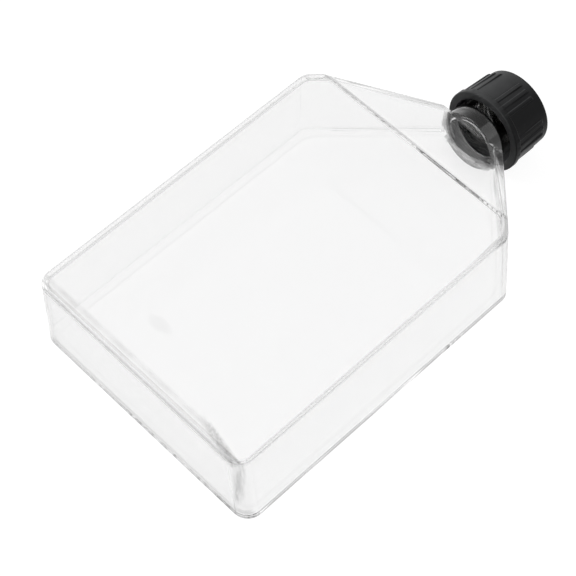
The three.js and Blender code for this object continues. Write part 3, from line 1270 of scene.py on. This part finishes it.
@dataclass
class ScrewCap:
    """Black screw cap: smooth band at the rim, grip ribs on the skirt and a thread inside."""

    closure: Closure = field(default_factory=Closure)
    ribs: GripRibs = field(default_factory=GripRibs)
    finish: BlackPlastic = field(default_factory=BlackPlastic)
    wall: float = 1.6
    skirt_draft: float = 0.95
    bore_draft: float = 0.2
    bead_width: float = 2.0
    bead_step: float = 0.33
    edge_radius: float = 1.05
    lip_round: float = 0.4
    coarse_step: float = math.radians(2.5)
    flank_reach: float = 0.55
    flank_places: int = 7
    roof_start: float = 1.5
    roof_step: float = 2.0
    bore_step: float = 0.22
    skirt_step: float = 0.3
    bead_gap: float = 0.1
    gate_radii: Range = (1.4, 0.9)
    gate_depth: float = 0.12
    top_inset: float = 1.2
    inner_steps: int = 4
    round_steps: int = 5
    edge_steps: int = 8
    fit: float = 1e-6
    crease: float = math.radians(50)

    def skirt_radius(self, along: float) -> float:
        """Outer radius of the skirt at a place along the cap."""
        rim = self.closure.cap_bore + self.wall + self.skirt_draft
        return rim - self.skirt_draft * along / self.closure.cap_length

    def angles(self) -> np.ndarray:
        """Places round the axis, closest on the flanks of the ribs.

        Returns:
            The angles in rising order.
        """
        ribs, radius = self.ribs, self.skirt_radius(self.closure.cap_length / 2)
        half, flank = ribs.width / 2 / radius, ribs.flank / radius
        reach = flank * self.flank_reach
        places = np.linspace(half - reach, half + reach, self.flank_places)
        near = np.concatenate([-places, [0], places])
        found = [np.arange(0, TURN, self.coarse_step)]
        outer = (ribs.ribs_per_group - 1) / 2
        for middle in ribs.phase + evenly(ribs.groups):
            for rib in np.linspace(-outer, outer, ribs.ribs_per_group):
                found.append((middle + rib * ribs.spacing + near) % TURN)
        return np.unique(np.concatenate(found).round(4))

    def profile(self) -> Profile:
        """Section of the cap without its ribs.

        Returns:
            (radius, height) pairs from the roof of the bore round to the outside of the closed end.
        """
        c = self.closure
        roof, bore = c.cap_length - c.cap_top, c.cap_bore
        bead = self.skirt_radius(0) + self.bead_step
        lip, edge, above = self.lip_round, self.edge_radius, self.bead_width + self.bead_gap
        shoulder, floor = c.cap_length - edge, c.cap_length - self.gate_depth
        top = self.skirt_radius(shoulder)
        section = [(0, roof), *rows((self.roof_start, roof), (bore - lip, roof), self.roof_step)]
        section += rows((bore, roof - lip), (bore + self.bore_draft, lip), self.bore_step)
        section += arc((bore + self.bore_draft + lip, lip), lip, 180, 270, self.inner_steps)[1:]
        section += arc((bead - lip, lip), lip, -90, 0, self.round_steps)
        step = self.bead_step
        section += arc((bead - step, self.bead_width - step), step, 0, 90, self.round_steps)
        section += rows((self.skirt_radius(above), above), (top, shoulder), self.skirt_step)
        section += arc((top - edge, shoulder), edge, 0, 90, self.edge_steps)[1:]
        section += [(top - edge - self.top_inset, c.cap_length), (self.gate_radii[0], c.cap_length),
                    (self.gate_radii[1], floor), (0, floor)]
        return section

    def build(self, place: Matrix) -> Piece:
        """Builds and dresses the cap.

        Args:
            place: matrix from the closure's frame to the row frame.

        Returns:
            The finished piece.
        """
        c = self.closure
        start = c.thread.start - c.thread.pitch / 2

        def thread(angle: np.ndarray, radius: np.ndarray, along: np.ndarray) -> np.ndarray:
            """Raises the thread on the wall of the bore."""
            inside = (radius <= c.cap_bore + self.bore_draft + self.fit) & (radius >= c.cap_bore - self.fit)
            return radius - np.where(inside, c.thread.height(angle, along, start), 0)

        cap = turned("cap_body", self.profile(), self.angles(), thread)
        self.ribs.raise_on(cap, c.cap_bore + self.wall / 2, self.finish.build())
        return finished(cap, place, self.crease)


@dataclass
class CapLiner:
    """Sealing disc that the cap carries over the mouth."""

    closure: Closure = field(default_factory=Closure)
    finish: LinerFoam = field(default_factory=LinerFoam)
    inset: float = 0.9
    edge: float = 0.2
    edge_steps: int = 4
    segments: int = 96
    crease: float = math.radians(50)

    def build(self, place: Matrix) -> Piece:
        """Builds and dresses the disc.

        Args:
            place: matrix from the closure's frame to the row frame.

        Returns:
            The finished piece.
        """
        c = self.closure
        low, radius = c.mouth + c.liner_clearance, c.cap_bore - self.inset
        high = low + c.liner_thickness
        middle, steps = radius - self.edge, self.edge_steps
        profile = [(0, low), *arc((middle, low + self.edge), self.edge, -90, 0, steps),
                   *arc((middle, high - self.edge), self.edge, 0, 90, steps), (0, high)]
        disc = finished(turned("liner_disc", profile, evenly(self.segments)), place, self.crease)
        disc.data.materials.append(self.finish.build())
        return disc


# -------------------------------------------------------- studio


@dataclass(frozen=True)
class Lamp:
    """A square soft lamp that faces the origin."""

    name: str
    at: Triple
    side: float
    power: float


@dataclass(frozen=True)
class Studio:
    """Camera, pale floor, soft light and white surroundings."""

    camera_at: Triple = (-0.255178, -0.236347, 0.498341)
    look_at: Triple = (-0.021384, -0.001386, 0.015)
    roll: float = math.radians(1.182)
    lens: float = 128.125
    sensor: float = 36.0
    clear_bounces: int = 110
    white: Colour = (1.0, 1.0, 1.0, 1.0)
    floor_side: float = 8.0
    floor_colour: Colour = (0.9, 0.9, 0.9, 1.0)
    floor_glow: float = 0.89
    floor_shown: Colour = (0.2, 0.2, 0.2, 1.0)
    overhead: Range = (0.2, 0.8)
    overhead_light: float = 0.5
    lamps: tuple[Lamp, ...] = (Lamp("key", (-0.35, 0.75, 0.75), 0.7, 5.0), Lamp("fill", (0.6, -0.7, 0.8), 0.9, 2.0))

    def stand(self, name: str, data: bpy.types.ID, at: Triple, target: Triple, roll: float = 0.0) -> Piece:
        """Makes an object that looks at a point.

        Args:
            name: the object's name.
            data: camera or light.
            at: where it stands.
            target: the point that it looks at.
            roll: turn about its line of sight.

        Returns:
            The object.
        """
        made = bpy.data.objects.new(name, data)
        bpy.context.scene.collection.objects.link(made)
        made.location = at
        aim = (Vector(target) - Vector(at)).to_track_quat("-Z", "Y")
        made.rotation_mode = "QUATERNION"
        made.rotation_quaternion = aim @ Quaternion((0, 0, 1), roll)
        return made

    def camera(self) -> None:
        """Makes the camera."""
        data = bpy.data.cameras.new("camera")
        data.lens, data.sensor_width = self.lens, self.sensor
        scene = bpy.context.scene
        scene.camera = self.stand("camera", data, self.camera_at, self.look_at, self.roll)
        scene.view_settings.view_transform = "Standard"
        scene.cycles.max_bounces = scene.cycles.transmission_bounces = self.clear_bounces
        scene.cycles.glossy_bounces = scene.cycles.transparent_max_bounces = self.clear_bounces

    def floor(self) -> None:
        """Makes the floor: pale, shown as plain white, and still darkened a little by the object's shadow."""
        half = self.floor_side / 2
        corners = np.array([(-half, -half, 0), (half, -half, 0), (half, half, 0), (-half, half, 0)])
        made = closed_mesh("floor", corners, [(0, 1, 2, 3)])
        material, nodes = new_material("pale_floor")
        pale, shown_pale = (nodes.wire("ShaderNodeBsdfDiffuse", 0, None, {"Color": colour})
                            for colour in (self.floor_colour, self.floor_shown))
        glow = nodes.wire("ShaderNodeEmission", 0, None, {"Color": self.white, "Strength": self.floor_glow})
        white = nodes.wire("ShaderNodeAddShader", 0, None, {0: glow, 1: shown_pale})
        path = nodes.add("ShaderNodeLightPath").outputs
        camera, glossy, clear = (Wire(nodes, path[f"Is {kind} Ray"]) for kind in ("Camera", "Glossy", "Transmission"))
        nodes.show(nodes.either((camera + glossy + clear).math("MINIMUM", 1.0), pale, white))
        made.data.materials.append(material)

    def surroundings(self) -> None:
        """Makes the world: white where it is seen, and a soft plain light that is weaker overhead."""
        world = bpy.data.worlds.new("surroundings")
        world.use_nodes = True
        world.node_tree.nodes.clear()
        bpy.context.scene.world = world
        nodes = Nodes(world.node_tree)
        seen = nodes.wire("ShaderNodeLightPath", "Is Camera Ray")
        up = nodes.split(nodes.wire("ShaderNodeTexCoord", "Generated"))[2]
        light = up.smooth(*self.overhead).dims(self.overhead_light)
        strength = seen.between(light, 1.0)
        glow = nodes.wire("ShaderNodeBackground", 0, None, {"Color": self.white, "Strength": strength})
        nodes.add("ShaderNodeOutputWorld", None, {"Surface": glow})

    def light(self) -> None:
        """Makes the soft lamps, which aren't seen through the clear plastic."""
        for lamp in self.lamps:
            data = bpy.data.lights.new(lamp.name, "AREA")
            data.size, data.energy = lamp.side, lamp.power
            self.stand(lamp.name, data, lamp.at, (0.0, 0.0, 0.0)).visible_transmission = False


# -------------------------------------------------------- main


@dataclass(frozen=True)
class Places:
    """Matrices from the two working frames to the row frame."""

    flask: Matrix
    closure: Matrix

    @classmethod
    def from_joint(cls, sizes: FlaskSizes, joint: Mapping[str, Sequence[float]]) -> "Places":
        """Works the frames out from the joint that the cap turns on.

        Args:
            sizes: the flask's sizes.
            joint: the joint's row in the record, with its point and axis.

        Returns:
            The places.
        """
        dip = math.asin(-joint["axis"][2])
        origin = Matrix.Translation(joint["pos_m"])
        scale = Matrix.Scale(MM, 4)
        closure = origin @ Matrix.Rotation(math.pi / 2 + dip, 4, "Y") @ scale
        tilt = Matrix.Rotation(dip - sizes.neck_lean, 4, "Y")
        back = Matrix.Translation((-sizes.rim_x, 0, -sizes.neck_height))
        return cls(origin @ tilt @ scale @ back, closure)


def shown(piece: Piece, body: Body, slot: Slot, *nodes: str) -> None:
    """Hands a finished piece to the frame and reports it.

    Args:
        piece: the finished piece.
        body: body that it rides on.
        slot: the record's slot for its finish; not used.
        nodes: CAD nodes that it stands for.
    """
    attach(piece, body.value)
    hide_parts(*nodes)
    triangles = sum(len(face.vertices) - 2 for face in piece.data.polygons)
    log.info("%s rides on %s, %d triangles, in place of %s", piece.name, body.value, triangles, ", ".join(nodes))


def main() -> None:
    """Builds the studio and every piece."""
    logging.basicConfig(level=logging.INFO, format="%(name)s: %(message)s")
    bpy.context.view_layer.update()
    studio = Studio()
    studio.camera()
    studio.floor()
    studio.surroundings()
    studio.light()
    turn = next(joint for joint in frame["joints"] if joint["name"] == "cap_turn")
    flask, cap, liner = FlaskBody(), ScrewCap(), CapLiner()
    places = Places.from_joint(flask.sizes, turn)
    shown(flask.build(places.flask), Body.FLASK, Slot.CLEAR, "flask_shell", "back_plate")
    shown(cap.build(places.closure), Body.CAP, Slot.BLACK, "screw_cap")
    shown(liner.build(places.closure), Body.LINER, Slot.FOAM, "cap_liner")


if __name__ == "__main__":
    main()
